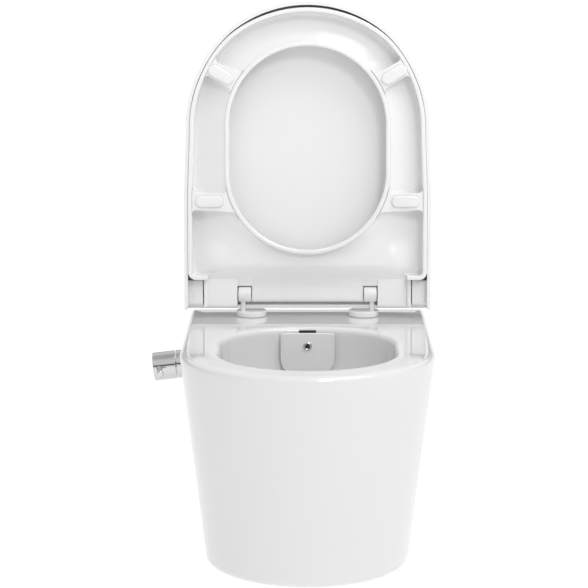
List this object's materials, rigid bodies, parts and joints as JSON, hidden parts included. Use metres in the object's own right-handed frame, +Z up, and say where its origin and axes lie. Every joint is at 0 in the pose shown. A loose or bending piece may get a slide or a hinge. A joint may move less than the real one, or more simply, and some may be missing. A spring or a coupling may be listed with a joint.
{
  "type": "wall-hung bidet toilet",
  "caption": "Wall-hung rimless toilet pan in white glazed ceramic with a built-in bidet nozzle, side tap, and raised soft-close seat and wrap-over lid.",
  "frame": {"origin": "midpoint between the two wall studs, on the wall's surface", "axes": "+Z up, -Y out of the wall towards the user, +X to the right of someone facing the pan"},
  "size_m": [0.4176, 0.49, 0.7854],
  "materials": {
    "glazed_ceramic": "white vitreous glaze, high gloss",
    "seat_plastic": "white moulded urea resin, gloss",
    "hinge_plastic": "white, gloss",
    "bumper": "translucent white soft plastic",
    "soft_grey": "pale grey soft plastic",
    "chrome": "polished chrome",
    "steel": "stainless steel",
    "brass": "turned brass",
    "braided_steel": "braided stainless sleeve",
    "dark_plastic": "dark grey, satin",
    "black_rubber": "black rubber"
  },
  "bodies": {
    "pan": {"pan": "glazed_ceramic", "wall_bushes": "hinge_plastic", "inlet_seal": "black_rubber", "nozzle_shield": "glazed_ceramic", "bidet_nozzle": "chrome", "nozzle_seal": "black_rubber", "nozzle_nut": "brass", "nozzle_pipe": "braided_steel", "pipe_nuts": "brass", "valve_body": "brass", "valve_cartridge": "dark_plastic", "valve_seal": "black_rubber", "valve_nut": "brass", "supply_nipple": "chrome", "tap_base_ring": "chrome", "seat_bolts": "steel", "bolt_cones": "black_rubber", "bolt_nuts": "hinge_plastic", "hinge_gaskets": "soft_grey", "hinge_disc_left": "hinge_plastic", "hinge_disc_right": "hinge_plastic", "hinge_post_left": "hinge_plastic", "hinge_post_right": "hinge_plastic", "hinge_barrel_left": "hinge_plastic", "hinge_barrel_right": "hinge_plastic", "seat_damper_shaft": "steel", "lid_damper_shaft": "steel"},
    "lid": {"lid": "seat_plastic", "lid_damper": "dark_plastic", "lid_pivot_pin": "dark_plastic", "lid_bumpers": "bumper"},
    "seat": {"seat": "seat_plastic", "seat_damper": "dark_plastic", "seat_front_bumpers": "bumper", "seat_rear_bumpers": "bumper"},
    "tap": {"tap_handle": "chrome", "tap_lever_pin": "chrome", "tap_screw": "steel", "tap_spindle": "dark_plastic"}
  },
  "joints": [
    {"name": "lid_hinge", "type": "hinge", "parent": "pan", "child": "lid", "pos_m": [0, -0.056, 0.1195], "axis": [1, 0, 0], "range_deg": [0, 95]},
    {"name": "seat_hinge", "type": "hinge", "parent": "pan", "child": "seat", "pos_m": [0, -0.056, 0.1195], "axis": [1, 0, 0], "range_deg": [0, 95]},
    {"name": "tap_turn", "type": "hinge", "parent": "pan", "child": "tap", "pos_m": [-0.17437, -0.13, 0.029], "axis": [-0.9932, 0, -0.1164], "range_deg": [0, 90]}
  ],
  "couplings": [
    {"joint": "seat_hinge", "follows": "lid_hinge", "ratio": 1}
  ]
}
